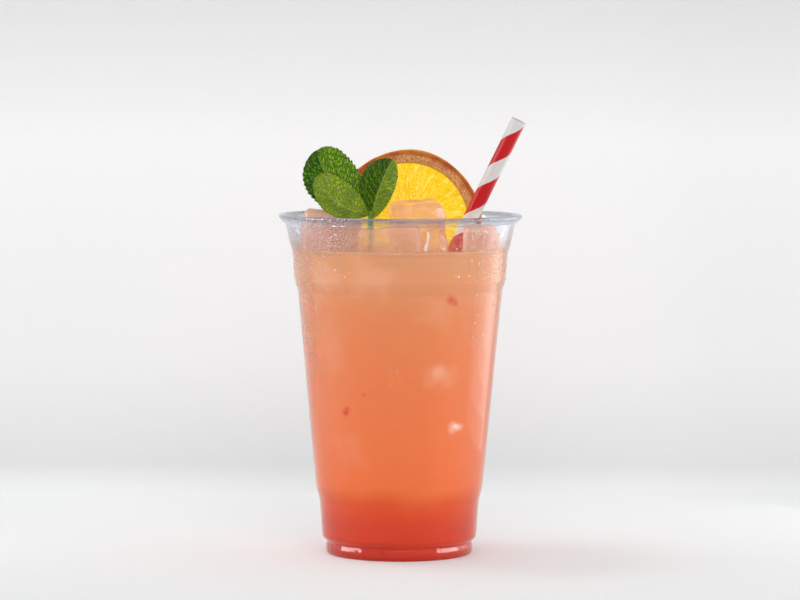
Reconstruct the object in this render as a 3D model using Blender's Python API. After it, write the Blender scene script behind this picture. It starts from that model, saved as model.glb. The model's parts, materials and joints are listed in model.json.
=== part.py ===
# A clear plastic tumbler of iced fruit cocktail, with an orange wheel, a mint sprig and a paper straw.
# Metres, +Z up. The origin is on the tumbler's axis, at the surface that its foot stands on.
# The side that faces a drinker is -Y.

import math

import bmesh
import bpy
from mathutils import Euler, Matrix, Vector, noise

MM = 0.001

# The tumbler: a thin wall drawn from one sheet, with a rolled lip and two stacking steps
WALL = 0.5 * MM
RIM_RADIUS = 49.0 * MM
RIM_HEIGHT = 136.7 * MM
FOOT_RADIUS = 29.3 * MM
FOOT_RING = 3.0 * MM
PUSH_UP = 4.0 * MM
TURN_STEPS = 48

# The drink fills the tumbler to this level, a hair clear of every piece that it touches
DRINK_LEVEL = 122.1 * MM
GAP = 0.35 * MM

# The paper straw leans on the wall, low on the left
STRAW_RADIUS = 3.0 * MM
STRAW_WALL = 0.45 * MM
STRAW_TOP = Vector((46.9, -10.0, 174.4)) * MM
STRAW_FOOT = Vector((-26.0, 8.6, 23.0)) * MM
STRAW_SIDES = 20

# The dried orange wheel stands in the ice and leans back a little
WHEEL_RADIUS = 30.0 * MM
WHEEL_THICKNESS = 4.2 * MM
WHEEL_CENTRE = Vector((2.9, 15.0, 132.0)) * MM
WHEEL_LEAN = math.radians(-7)
WHEEL_SEGMENTS = 10
# Shares of the radius where the hub ends and where the pith and the rind start
WHEEL_HUB, WHEEL_PITH, WHEEL_RIND = 0.10, 0.78, 0.93
WHEEL_RINGS = (0.09, 0.20, 0.47, 0.74, 0.785, 0.925, 0.96, 1.0)
WHEEL_EDGE_BEVEL = 0.6 * MM
WHEEL_WARP = 0.5 * MM

# Ice: name, size, centre (all in mm), turn in degrees and a seed for its melted surface
ICE = (
    ("ice_left", (22.5, 12.5, 19), (-27.9, -8.4, 128.8), (4, 6, 9), 3),
    ("ice_middle", (20, 19, 24), (7.0, -10.5, 130.0), (6, -6, 12), 11),
    ("ice_right", (11.5, 12, 20), (31.2, -15.0, 122.6), (3, 4, -14), 24),
    ("ice_front", (24, 12.5, 20), (-4.0, -31.8, 123.0), (-4, -5, -6), 37),
    ("ice_far_left", (12, 11, 18), (-32.7, 6.8, 119.5), (-6, 4, 4), 41),
    ("ice_back_left", (17, 13, 20), (-14.5, 30.5, 121.5), (-8, 6, 24), 53),
    ("ice_back", (18, 14, 22), (9.0, 31.0, 121.5), (5, -6, -16), 58),
    ("ice_back_right", (13, 14, 18), (33.0, 2.0, 119.5), (-5, 4, 6), 66),
)
ICE_ROUNDING = 0.36
ICE_MELT = 0.05
ICE_SWELL = 9.0 * MM

# The mint sprig: three leaves on one stem, which stands between the ice
STEM_RADIUS = 1.15 * MM
STEM_SIDES = 8
STEM_TOP = Vector((-11.9, -15.2, 138.6)) * MM
STEM_FOOT = Vector((-11.2, -14.0, 108.0)) * MM
LEAF_THICKNESS = 0.55 * MM
LEAF_TEETH = 9
LEAF_TOOTH_DEPTH = 0.09
# The outline's powers at the base and the tip, and its greatest value
LEAF_BASE_POWER, LEAF_TIP_POWER, LEAF_PEAK = 0.72, 0.52, 0.430
# Puffed ribs between the side veins: how many, how they slant to the tip, and their height
LEAF_RIBS, LEAF_SLANT, LEAF_PUFF = 7, 0.30, 0.45 * MM
# Leaves: length, width, base and tip (all in mm), the way the upper face looks, fold, curl, side bend
# and how much narrower the lower left half starts
LEAVES = (
    (35.5, 23.0, (-12.0, -14.9, 136.6), (-35.0, -3.0, 164.8), (0.30, -0.93, 0.30), 0.22, 0.08, 0.50, 0.0),
    (27.0, 19.0, (-12.0, -15.5, 137.0), (-34.0, -22.6, 151.2), (0.28, -0.80, 0.50), 0.16, 0.05, 0.54, 0.50),
    (25.5, 15.6, (-11.8, -15.2, 135.4), (-3.4, -20.0, 159.4), (-0.42, -0.86, 0.10), 0.42, 0.08, 0.10, 0.0),
)


def clear_scene():
    for obj in list(bpy.data.objects):
        bpy.data.objects.remove(obj)


def plain_material(name, colour, roughness, metallic=0.0, transmission=0.0):
    material = bpy.data.materials.new(name)
    material.use_nodes = True
    shader = material.node_tree.nodes["Principled BSDF"]
    shader.inputs["Base Color"].default_value = (*colour, 1.0)
    shader.inputs["Roughness"].default_value = roughness
    shader.inputs["Metallic"].default_value = metallic
    shader.inputs["Transmission Weight"].default_value = transmission
    return material


def object_from(bm, name, material=None):
    bmesh.ops.recalc_face_normals(bm, faces=bm.faces)
    mesh = bpy.data.meshes.new(name)
    bm.to_mesh(mesh)
    bm.free()
    mesh.shade_smooth()
    mesh.set_sharp_from_angle(angle=math.radians(40))
    obj = bpy.data.objects.new(name, mesh)
    bpy.context.scene.collection.objects.link(obj)
    if material:
        mesh.materials.append(material)
    return obj


def turned(outline, name, material=None):
    """A solid of revolution about Z from a closed outline of (radius, height) points."""
    bm = bmesh.new()
    corners = [bm.verts.new((r, 0, z)) for r, z in outline]
    edges = [bm.edges.new((a, b)) for a, b in zip(corners, corners[1:])]
    if min(outline[0][0], outline[-1][0]) > 0:
        edges.append(bm.edges.new((corners[-1], corners[0])))
    bmesh.ops.spin(
        bm, geom=corners + edges, cent=(0, 0, 0), axis=(0, 0, 1), angle=math.tau, steps=TURN_STEPS
    )
    bmesh.ops.remove_doubles(bm, verts=bm.verts, dist=0.01 * MM)
    return object_from(bm, name, material)


def beside(line, distance):
    """The line moved sideways by a distance, to its left as it runs, with mitred corners."""
    moved = []
    for i, (r, z) in enumerate(line):
        before = Vector(line[i]) - Vector(line[i - 1]) if i else None
        after = Vector(line[i + 1]) - Vector(line[i]) if i + 1 < len(line) else None
        sides = [Vector((-d.y, d.x)).normalized() for d in (before, after) if d is not None]
        across = sum(sides, Vector((0, 0))).normalized()
        reach = distance / max(across.dot(sides[0]), 0.5)
        moved.append((max(r + across.x * reach, 0.0), z + across.y * reach))
    return moved


def wall_line():
    """The middle of the tumbler's wall, from the centre of its base out, up and round the lip."""
    half = WALL / 2
    foot = FOOT_RADIUS - half
    inner_foot = foot - FOOT_RING
    base = [
        (0.0, PUSH_UP - 0.6 * MM),
        (inner_foot * 0.86, PUSH_UP - 0.6 * MM),
        (inner_foot - 0.5 * MM, PUSH_UP - 1.2 * MM),
        (inner_foot, half),
        (foot - 0.6 * MM, half),
        (foot, half + 0.7 * MM),
    ]
    # Heights and outer radii of the side, in mm: a step above the foot, one low down, one near the top
    side_mm = (
        (4.9, 29.40), (7.2, 31.00), (21.8, 32.00), (26.8, 33.35), (29.4, 33.70), (67.5, 37.30),
        (106.2, 40.95), (110.6, 42.40), (121.6, 43.20), (122.6, 43.45), (124.6, 44.15), (132.8, 46.00),
    )
    side = [(r * MM - half, z * MM) for z, r in side_mm]
    # The lip rolls out, over and back in under itself, widest at its top
    lip_top = RIM_HEIGHT - half
    lip = [
        (46.25 * MM - half, 134.9 * MM),
        (46.65 * MM - half, lip_top - 0.35 * MM),
        (47.45 * MM - half, lip_top),
        (RIM_RADIUS - 0.95 * MM, lip_top),
        (RIM_RADIUS - half - 0.08 * MM, lip_top - 0.45 * MM),
        (RIM_RADIUS - half - 0.25 * MM, lip_top - 1.0 * MM),
        (RIM_RADIUS - 1.55 * MM, lip_top - 2.3 * MM),
        (RIM_RADIUS - 2.35 * MM, lip_top - 2.95 * MM),
    ]
    return base + side + lip


def make_tumbler():
    line = wall_line()
    inside = beside(line, WALL / 2)
    outside = beside(line, -WALL / 2)
    clear = plain_material("clear_plastic", (0.90, 0.93, 0.97), 0.08, transmission=0.9)
    return turned(outside + inside[::-1], "tumbler", clear)


def drink_outline():
    """The drink's side and base, worked out from the wall, with a flat top at its level."""
    inside = beside(wall_line(), WALL / 2 + GAP)
    below = [p for p in inside if p[1] < DRINK_LEVEL]
    above = inside[len(below)]
    share = (DRINK_LEVEL - below[-1][1]) / (above[1] - below[-1][1])
    shore = below[-1][0] + share * (above[0] - below[-1][0])
    return below + [(shore, DRINK_LEVEL), (0.0, DRINK_LEVEL)]


def ice_cube(size, centre, turn, seed, name, grow=0.0, material=None):
    """A cube with rounded edges and a melted, slightly uneven surface."""
    bm = bmesh.new()
    bmesh.ops.create_cube(bm, size=2)
    bmesh.ops.subdivide_edges(bm, edges=bm.edges, cuts=3, use_grid_fill=True)
    half = Vector(size) * MM / 2
    rounding = ICE_ROUNDING * min(half)
    core = half - Vector((rounding,) * 3)
    for vert in bm.verts:
        spread = [math.sin(c * math.pi / 2) * h for c, h in zip(vert.co, half)]
        near = Vector([max(-c, min(c, s)) for c, s in zip(core, spread)])
        point = near + (Vector(spread) - near).normalized() * rounding
        bump = noise.noise(point / ICE_SWELL + Vector((seed, seed * 0.7, 0)))
        vert.co = point * (1 + ICE_MELT * 2 * bump)
    bm.normal_update()
    for vert in bm.verts:
        vert.co += vert.normal * grow
    angles = [math.radians(t) for t in turn]
    bm.transform(Matrix.Translation(Vector(centre) * MM) @ Euler(angles).to_matrix().to_4x4())
    return object_from(bm, name, material)


def wheel_profile(r, turn):
    """How far the wheel's face stands from its middle plane: rind, pith, then segments with membranes."""
    half = WHEEL_THICKNESS / 2
    within = (turn * WHEEL_SEGMENTS / math.tau) % 1
    membrane = abs(within - 0.5) * 2
    if r > WHEEL_RIND * WHEEL_RADIUS:
        return half * 0.96
    if r > WHEEL_PITH * WHEEL_RADIUS:
        return half * 0.80
    if r < WHEEL_HUB * WHEEL_RADIUS:
        return half * 0.70
    return half * (0.92 - 0.30 * membrane**4)


def orange_wheel(name, grow=0.0, material=None):
    bm = bmesh.new()
    turns = [math.tau * i / (WHEEL_SEGMENTS * 4) for i in range(WHEEL_SEGMENTS * 4)]
    radii = [WHEEL_RADIUS * share for share in WHEEL_RINGS]
    if grow:
        radii = [radii[3], radii[-1] + grow]

    def ring(r, side):
        for turn in turns:
            stand = WHEEL_THICKNESS / 2 if grow else wheel_profile(r, turn)
            if r >= WHEEL_RADIUS:
                stand -= 0 if grow else WHEEL_EDGE_BEVEL
            warp = WHEEL_WARP * math.sin(2 * turn + 0.6) * (r / WHEEL_RADIUS) ** 2
            wobble = 1 + 0.008 * math.sin(5 * turn + 1.0)
            at = (r * wobble * math.cos(turn), warp + side * (stand + grow), r * wobble * math.sin(turn))
            yield bm.verts.new(at)

    rings = [list(ring(r, -1)) for r in radii] + [list(ring(r, 1)) for r in radii[::-1]]
    for inner, outer in zip(rings, rings[1:]):
        for i in range(len(turns)):
            j = (i + 1) % len(turns)
            bm.faces.new((inner[i], inner[j], outer[j], outer[i]))
    bm.faces.new(rings[0])
    bm.faces.new(rings[-1])
    bm.transform(Matrix.Translation(WHEEL_CENTRE) @ Matrix.Rotation(WHEEL_LEAN, 4, "X"))
    return object_from(bm, name, material)


def tube_between(start, end, rings, sides, name, material=None, hollow=True):
    """A straight tube or, where it isn't hollow, a rod: its rings are (share along, radius)."""
    bm = bmesh.new()
    along = end - start
    turn = along.to_track_quat("Z", "Y").to_matrix()
    loops = []
    for share, radius in rings:
        loop = []
        for i in range(sides):
            a = math.tau * i / sides
            offset = turn @ Vector((radius * math.cos(a), radius * math.sin(a), 0))
            loop.append(bm.verts.new(start + along * share + offset))
        loops.append(loop)
    follow = loops[1:] + loops[:1] if hollow else loops[1:]
    for a, b in zip(loops, follow):
        for i in range(sides):
            j = (i + 1) % sides
            bm.faces.new((a[i], a[j], b[j], b[i]))
    if not hollow:
        bm.faces.new(loops[0])
        bm.faces.new(loops[-1])
    return object_from(bm, name, material)


def make_straw():
    paper = plain_material("striped_paper", (0.80, 0.25, 0.22), 0.6)
    bore = STRAW_RADIUS - STRAW_WALL
    rings = [(0, STRAW_RADIUS), (0.5, STRAW_RADIUS), (1, STRAW_RADIUS), (1, bore), (0.5, bore), (0, bore)]
    return tube_between(STRAW_FOOT, STRAW_TOP, rings, STRAW_SIDES, "straw", paper)


def straw_cutter():
    """The straw's wall with a gap all round it, so that the drink stands inside its bore too."""
    outer = STRAW_RADIUS + GAP
    bore = STRAW_RADIUS - STRAW_WALL - GAP
    low = -GAP / (STRAW_TOP - STRAW_FOOT).length
    rings = [(low, outer), (1, outer), (1, bore), (low, bore)]
    return tube_between(STRAW_FOOT, STRAW_TOP, rings, STRAW_SIDES, "cut_straw")


def stem_rod(name, grow=0.0):
    """The mint's stem, a little thicker towards the leaves."""
    low = -grow / (STEM_TOP - STEM_FOOT).length
    rings = [(low, STEM_RADIUS * 0.9 + grow), (0.5, STEM_RADIUS + grow), (1, STEM_RADIUS * 1.1 + grow)]
    return tube_between(STEM_FOOT, STEM_TOP, rings, STEM_SIDES, name, hollow=False)


def leaf_half_width(u):
    """An egg-shaped leaf, widest past its middle, with a round tip and teeth along the edge."""
    body = u**LEAF_BASE_POWER * (1 - u) ** LEAF_TIP_POWER / LEAF_PEAK
    tooth = 0.5 - abs((u * LEAF_TEETH) % 1 - 0.62)
    return body * (1 + LEAF_TOOTH_DEPTH * tooth)


def leaf_shape(u, s, length, width, fold, curl, bend, pinch):
    """A point of the leaf's middle surface: u along the midrib, s across from -1 to 1."""
    across = s * max(leaf_half_width(u), 0.05) * width / 2
    if s < 0:
        across *= 1 - pinch * (1 - u)
    lift = fold * abs(across)
    lift -= curl * length * (u - 0.35) ** 2
    puff = math.sin(math.pi * LEAF_RIBS * (u - LEAF_SLANT * abs(s))) ** 2
    lift += LEAF_PUFF * puff * math.sin(math.pi * abs(s)) * math.sin(math.pi * u)
    return Vector((across - bend * length * u * (1 - u), u * length, lift))


def leaf(length, width, base, tip, face, fold, curl, bend, pinch, name, material=None):
    """A thin wavy solid with its upper and lower faces split alike."""
    bm = bmesh.new()
    rows, columns = 2 * LEAF_TEETH, 8
    base, tip = Vector(base) * MM, Vector(tip) * MM
    along = (tip - base).normalized()
    side = along.cross(Vector(face)).normalized()
    up = side.cross(along)
    frame = Matrix((side, along, up)).transposed()

    def sheet(level):
        made = []
        for i in range(rows + 1):
            u = 0.02 + 0.975 * i / rows
            line = []
            for j in range(columns + 1):
                s = 2 * j / columns - 1
                local = leaf_shape(u, s, length * MM, width * MM, fold, curl, bend, pinch)
                thin = LEAF_THICKNESS / 2 * (1 - 0.45 * abs(s))
                local.z += level * thin
                line.append(bm.verts.new(base + frame @ local))
            made.append(line)
        return made

    upper, lower = sheet(1), sheet(-1)
    for i in range(rows):
        for j in range(columns):
            for grid in (upper, lower):
                bm.faces.new((grid[i][j], grid[i + 1][j], grid[i + 1][j + 1], grid[i][j + 1]))
    border = [(i, 0) for i in range(rows + 1)] + [(rows, j) for j in range(1, columns + 1)]
    border += [(i, columns) for i in range(rows - 1, -1, -1)] + [(0, j) for j in range(columns - 1, 0, -1)]
    for (i, j), (k, m) in zip(border, border[1:] + border[:1]):
        bm.faces.new((upper[i][j], upper[k][m], lower[k][m], lower[i][j]))
    return object_from(bm, name, material)


def joined(objects, name, material):
    """One solid from several that overlap, by a Boolean union on their collection."""
    group = bpy.data.collections.new(name + "_pieces")
    bpy.context.scene.collection.children.link(group)
    for obj in objects[1:]:
        bpy.context.scene.collection.objects.unlink(obj)
        group.objects.link(obj)
    whole = objects[0]
    whole.name = name
    union = whole.modifiers.new("Union", "BOOLEAN")
    union.operation = "UNION"
    union.operand_type = "COLLECTION"
    union.collection = group
    union.solver = "MANIFOLD"
    graph = bpy.context.evaluated_depsgraph_get()
    whole.data = bpy.data.meshes.new_from_object(whole.evaluated_get(graph))
    whole.modifiers.clear()
    for obj in objects[1:]:
        bpy.data.objects.remove(obj)
    bpy.data.collections.remove(group)
    whole.data.materials.clear()
    whole.data.materials.append(material)
    return whole


def make_mint():
    green = plain_material("mint_leaf", (0.10, 0.27, 0.03), 0.5)
    pieces = [stem_rod("mint_stem")]
    pieces += [leaf(*values, f"leaf_{i}") for i, values in enumerate(LEAVES)]
    return joined(pieces, "mint_sprig", green)


def make_drink():
    """The drink, with a pocket for each piece that stands or floats in it."""
    coral = plain_material("iced_cocktail", (0.78, 0.24, 0.11), 0.25)
    drink = turned(drink_outline(), "drink", coral)
    cutters = [ice_cube(*values, f"cut_{name}", grow=GAP) for name, *values in ICE]
    cutters += [straw_cutter(), orange_wheel("cut_wheel", grow=GAP), stem_rod("cut_stem", grow=GAP)]
    for cutter in cutters:
        cutter.hide_render = True
        cutter.display_type = "WIRE"
        cut = drink.modifiers.new(cutter.name, "BOOLEAN")
        cut.operation = "DIFFERENCE"
        cut.object = cutter
        cut.solver = "MANIFOLD"
    return drink


def main():
    clear_scene()
    make_tumbler()
    make_drink()
    ice = plain_material("ice", (0.86, 0.66, 0.56), 0.15, transmission=0.6)
    for name, *values in ICE:
        ice_cube(*values, name, material=ice)
    orange_wheel("orange_wheel", material=plain_material("dried_orange", (0.90, 0.55, 0.05), 0.45))
    make_straw()
    make_mint()


main()
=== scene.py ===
import json
import math
import random

import bmesh
import bpy
from mathutils import Euler, Matrix, Vector, noise

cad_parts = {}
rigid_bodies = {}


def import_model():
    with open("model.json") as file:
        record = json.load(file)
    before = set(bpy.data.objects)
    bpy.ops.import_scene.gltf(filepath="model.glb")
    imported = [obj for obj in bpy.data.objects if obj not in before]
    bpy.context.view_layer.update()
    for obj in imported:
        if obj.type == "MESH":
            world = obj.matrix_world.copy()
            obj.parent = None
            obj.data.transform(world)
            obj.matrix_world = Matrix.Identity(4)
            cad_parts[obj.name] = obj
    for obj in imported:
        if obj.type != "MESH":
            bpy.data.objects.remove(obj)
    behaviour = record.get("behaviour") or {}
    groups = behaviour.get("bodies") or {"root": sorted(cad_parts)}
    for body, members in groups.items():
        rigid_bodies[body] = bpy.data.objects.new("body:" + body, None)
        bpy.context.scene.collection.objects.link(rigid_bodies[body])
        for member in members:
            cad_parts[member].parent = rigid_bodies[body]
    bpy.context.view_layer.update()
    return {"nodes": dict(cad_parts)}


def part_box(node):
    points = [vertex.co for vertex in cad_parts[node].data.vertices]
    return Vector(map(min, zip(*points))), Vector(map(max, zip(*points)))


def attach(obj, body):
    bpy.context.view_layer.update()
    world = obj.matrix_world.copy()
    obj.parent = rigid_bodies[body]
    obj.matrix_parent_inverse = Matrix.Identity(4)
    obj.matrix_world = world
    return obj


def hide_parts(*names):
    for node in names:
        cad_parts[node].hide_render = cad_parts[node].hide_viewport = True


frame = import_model()
mm = 0.001
print("frame loaded:", ", ".join(sorted(frame["nodes"])))


# Shader maths: a Wire is one output socket, and a sum on it adds Math nodes
class Wire:
    def __init__(self, finish, socket):
        self.finish, self.socket = finish, socket

    def maths(self, operation, *values):
        return self.finish.node("Math", {"operation": operation}, dict(enumerate(values)))

    def __add__(self, other):
        return self.maths("ADD", self, other)

    def __radd__(self, other):
        return self.maths("ADD", other, self)

    def __sub__(self, other):
        return self.maths("SUBTRACT", self, other)

    def __rsub__(self, other):
        return self.maths("SUBTRACT", other, self)

    def __mul__(self, other):
        return self.maths("MULTIPLY", self, other)

    def __rmul__(self, other):
        return self.maths("MULTIPLY", other, self)

    def __truediv__(self, other):
        return self.maths("DIVIDE", self, other)

    def __pow__(self, other):
        return self.maths("POWER", self, other)

    def __abs__(self):
        return self.maths("ABSOLUTE", self)

    def wrapped(self):  # the part after the decimal point
        return self.maths("FRACT", self)

    def between(self, low, high):  # 0 below low, 1 above high, smooth in between
        ranged = {"interpolation_type": "SMOOTHSTEP"}
        return self.finish.node("MapRange", ranged, {"Value": self, "From Min": low, "From Max": high})


class Finish:
    def __init__(self, name):
        self.material = bpy.data.materials.new(name)
        self.material.use_nodes = True
        self.tree = self.material.node_tree
        self.tree.nodes.clear()

    def node(self, kind, settings, inputs, out=0):
        made = self.tree.nodes.new("ShaderNode" + kind)
        for name, value in settings.items():
            if name == "stops":
                self.setStops(made.color_ramp, value)
            else:
                setattr(made, name, value)
        for name, value in inputs.items():
            if isinstance(value, Wire):
                self.tree.links.new(value.socket, made.inputs[name])
            else:
                made.inputs[name].default_value = value
        return Wire(self, made.outputs[out]) if made.outputs else made

    def setStops(self, ramp, stops):
        while len(ramp.elements) < len(stops):
            ramp.elements.new(1.0)
        for element, (place, shade) in zip(ramp.elements, stops):
            element.position = place
            element.color = shade

    def place(self):
        return self.node("TexCoord", {}, {}, "Object")

    def parts(self, vector):
        split = self.node("SeparateXYZ", {}, {"Vector": vector}).socket.node
        return [Wire(self, split.outputs[axis]) for axis in "XYZ"]

    def grain(self, scale, detail=2.0, where=None):
        where = where or self.place()
        return self.node("TexNoise", {}, {"Vector": where, "Scale": scale, "Detail": detail})

    def value(self, name):  # a number kept on the mesh's points
        return self.node("Attribute", {"attribute_name": name}, {}, "Fac")

    def blend(self, share, first, second):
        return self.node("Mix", {"data_type": "RGBA"}, {0: share, 6: first, 7: second}, 2)

    def bump(self, height, strength, distance):
        return self.node("Bump", {}, {"Height": height, "Strength": strength, "Distance": distance})

    def skin(self, **sockets):
        return self.node("BsdfPrincipled", {}, {k.replace("_", " "): v for k, v in sockets.items()})

    def twoShaders(self, share, first, second):
        return self.node("MixShader", {}, {0: share, 1: first, 2: second})

    # lamps shine straight through, so that what is inside is lit evenly
    def letLampsIn(self, shader, tint):
        shadow = self.node("LightPath", {}, {}, "Is Shadow Ray")
        return self.twoShaders(shadow, shader, self.node("BsdfTransparent", {}, {"Color": tint}))

    def done(self, shader):
        self.node("OutputMaterial", {}, {"Surface": shader}, None)
        return self.material


# Colours are given as seen on a screen, 0 to 255, and turned into the linear ones that nodes take
def colour(red, green, blue):
    def linear(level):
        level /= 255
        return level / 12.92 if level <= 0.04045 else ((level + 0.055) / 1.055) ** 2.4

    return (linear(red), linear(green), linear(blue), 1.0)


def settle(piece, replaced=()):
    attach(piece, "root")
    if replaced:
        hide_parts(*replaced)


def makeObject(name, points, faces, material, sharpAngle=40, values=None):
    mesh = bpy.data.meshes.new(name)
    mesh.from_pydata(points, [], faces)
    for key, numbers in (values or {}).items():
        mesh.attributes.new(key, "FLOAT", "POINT").data.foreach_set("value", numbers)
    mesh.shade_smooth()
    mesh.set_sharp_from_angle(angle=math.radians(sharpAngle))
    mesh.materials.append(material)
    made = bpy.data.objects.new(name, mesh)
    bpy.context.scene.collection.objects.link(made)
    return made


def turnedMesh(outline, turns, rib=None):
    # rings about Z from (radius, height) points; a point on the axis is a single vertex
    points, faces, rings = [], [], []
    for radius, height in outline:
        first = len(points)
        if radius < 1e-6:
            points.append((0, 0, height))
            rings.append([first] * turns)
            continue
        for i in range(turns):
            angle = math.tau * i / turns
            reach = radius + (rib(height, angle) if rib else 0)
            points.append((reach * math.cos(angle), reach * math.sin(angle), height))
        rings.append(list(range(first, first + turns)))
    for lower, upper in zip(rings, rings[1:]):
        for i in range(turns):
            j = (i + 1) % turns
            corners = (lower[i], lower[j], upper[j], upper[i])
            faces.append(tuple(dict.fromkeys(corners)))
    return points, faces


def softened(line, reach, steps=4):
    # every corner of the line becomes a short curve
    made = [line[0]]
    for before, corner, after in zip(line, line[1:], line[2:]):
        before, corner, after = Vector(before), Vector(corner), Vector(after)
        start = corner + (before - corner).normalized() * min(reach, 0.45 * (before - corner).length)
        end = corner + (after - corner).normalized() * min(reach, 0.45 * (after - corner).length)
        for i in range(steps + 1):
            t = i / steps
            made.append(tuple(start * (1 - t) ** 2 + corner * 2 * t * (1 - t) + end * t**2))
    made.append(line[-1])
    return made


def beside(line, distance):
    # the line moved to its own left
    moved = []
    for i in range(len(line)):
        along = Vector(line[min(i + 1, len(line) - 1)]) - Vector(line[max(i - 1, 0)])
        across = Vector((-along.y, along.x)).normalized() * distance
        moved.append((max(line[i][0] + across.x, 0.0), line[i][1] + across.y))
    return moved


# The tumbler
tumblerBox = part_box("tumbler")
tumbler = {
    "rimRadius": tumblerBox[1].x / mm,
    "rimHeight": tumblerBox[1].z / mm,
    "wall": 0.5,
    "footRadius": 29.3,
    "footRing": 3.0,
    "pushUp": 4.0,
    "turns": 288,
    "cornerReach": 0.9,
    # fine upright ribs round the foot
    "ribs": 48,
    "ribDepth": 0.05,
    "ribHeights": (0.8, 5.2),
    "tint": colour(240, 245, 250),
    # the lip's glass is tinted grey: painted shade along the rim
    "lipShadeTint": colour(229, 228, 228),
    # painted reflection where the wall is seen edge on: a pale opaque layer, blue-grey above the drink,
    # pinkish over it, and on the lip
    "clearEdgeReflection": colour(150, 160, 186),
    "drinkEdgeReflection": colour(222, 180, 168),
    "edgeReflectionShare": 0.50,
    "lipShare": 0.10,
    # the thin film that the drink leaves on the wall just above its level
    "film": colour(206, 142, 104),
    "filmShare": 0.24,
    "filmHeights": (121.0, 122.4, 131.0),
    # fine dew, thickest on the left: from full to none in x, from none to full in height
    "dewSize": 0.95,
    "dewLeft": (-38, -30),
    "dewHeights": (54, 88),
    # above these heights it reaches further in
    "dewBand": (120, 124),
    "dewReach": 16,
    "dewShare": 0.70,
    # the dew drops' tones: a painted glint and a painted shadow
    "dewGlint": colour(246, 226, 218),
    "dewShadow": colour(150, 84, 64),
}


def wallLine():
    half = tumbler["wall"] / 2
    foot = tumbler["footRadius"] - half
    innerFoot = foot - tumbler["footRing"]
    panel = tumbler["pushUp"] - 0.6
    base = [
        (0.0, panel),
        (innerFoot * 0.86, panel),
        (innerFoot - 0.5, panel - 0.6),
        (innerFoot, half),
        (foot - 0.8, half),
        (foot - 0.1, half + 0.5),
    ]
    # outer radius and height: a round foot, a step above it, one low down, one near the top
    side = [
        (29.40, 1.6), (29.55, 2.6), (29.38, 3.8), (29.05, 4.8), (29.15, 5.3), (31.00, 7.2),
        (32.00, 21.8), (33.35, 26.8), (33.70, 29.4), (37.30, 67.5), (40.95, 106.2),
        (42.40, 110.6), (43.20, 121.6), (43.45, 122.6), (44.15, 124.6), (46.00, 132.8),
    ]
    rim, top = tumbler["rimRadius"], tumbler["rimHeight"] - half
    lip = [
        (46.25 - half, 134.9),
        (46.65 - half, top - 0.35),
        (47.45 - half, top),
        (rim - 0.95, top),
        (rim - half - 0.08, top - 0.45),
        (rim - half - 0.25, top - 1.0),
        (rim - 1.55, top - 2.3),
        (rim - 2.35, top - 2.95),
    ]
    return softened(base + [(r - half, z) for r, z in side] + lip, tumbler["cornerReach"])


def wallRadius(height, offset):
    # the radius of the wall's middle at a height in mm, moved out by offset
    line = [p for p in wallLine() if p[1] > tumbler["pushUp"]]
    for (r0, z0), (r1, z1) in zip(line, line[1:]):
        if z0 <= height <= z1:
            return r0 + (r1 - r0) * (height - z0) / (z1 - z0) + offset
    return line[-1][0] + offset


def wallSpot(turn, height, offset):
    # a point on the wall and the way that the wall faces there
    radius = wallRadius(height, offset)
    slope = (wallRadius(height + 0.4, 0) - wallRadius(height - 0.4, 0)) / 0.8
    angle = math.radians(turn)
    outward = Vector((math.cos(angle), math.sin(angle), -slope)).normalized()
    return Vector((radius * math.cos(angle), radius * math.sin(angle), height)) * mm, outward


def fineDew(finish):
    # how much dew there is at a spot, and its tone: a painted glint and a painted shadow of the drops
    x, _, height = finish.parts(finish.place())
    spots = finish.node("TexVoronoi", {}, {"Vector": finish.place(), "Scale": 1000 / tumbler["dewSize"]})
    patches = finish.grain(70, 3.0).between(0.42, 0.56)
    band = height.between(*(z * mm for z in tumbler["dewBand"]))
    left = 1 - (x - tumbler["dewReach"] * mm * band).between(*(at * mm for at in tumbler["dewLeft"]))
    upper = height.between(*(z * mm for z in tumbler["dewHeights"]))
    dew = (1 - spots.between(0.24, 0.46)) * (0.06 + 0.94 * left) * upper * (0.4 + 0.6 * patches)
    tone = finish.blend(finish.grain(1400, 1.0).between(0.46, 0.54), tumbler["dewGlint"], tumbler["dewShadow"])
    return dew, tone


def clearPlastic():
    finish = Finish("clear plastic")
    _, _, height = finish.parts(finish.place())
    dew, dewGlintAndShadow = fineDew(finish)
    sheet = finish.bump(finish.grain(55, 1.0) + 0.12 * dew, 0.05, 0.0006)
    lip = height.between(134.2 * mm, 135.4 * mm)
    # the lip's glass tinted grey: painted shade along the rim
    tint = finish.blend(lip, tumbler["tint"], tumbler["lipShadeTint"])
    clear = finish.skin(Base_Color=tint, Roughness=0.0, IOR=1.33, Transmission_Weight=1.0, Normal=sheet)
    # painted reflection where the wall is seen edge on, with the dew's painted glints and shadows
    paintedTone = finish.blend(height.between(119 * mm, 124 * mm), tumbler["drinkEdgeReflection"], tumbler["clearEdgeReflection"])
    paintedTone = finish.blend(dew, paintedTone, dewGlintAndShadow)
    paintedLayer = finish.skin(Base_Color=paintedTone, Roughness=0.25, IOR=1.5)
    facing = finish.node("LayerWeight", {}, {"Blend": 0.35, "Normal": sheet}, "Facing")
    share = (facing**3) * tumbler["edgeReflectionShare"] + dew * tumbler["dewShare"] + lip * tumbler["lipShare"]
    plastic = finish.twoShaders(share, clear, paintedLayer)
    low, full, gone = (z * mm for z in tumbler["filmHeights"])
    runs = finish.grain(160, 3.0).between(0.35, 0.65)
    wet = height.between(low, full) * (1 - (height - 3 * mm * runs).between(full - 3 * mm, gone))
    film = finish.skin(Base_Color=tumbler["film"], Roughness=0.30, IOR=1.33)
    plastic = finish.twoShaders(wet * tumbler["filmShare"], plastic, film)
    return finish.done(finish.letLampsIn(plastic, (0.97, 0.98, 0.99, 1)))


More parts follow.
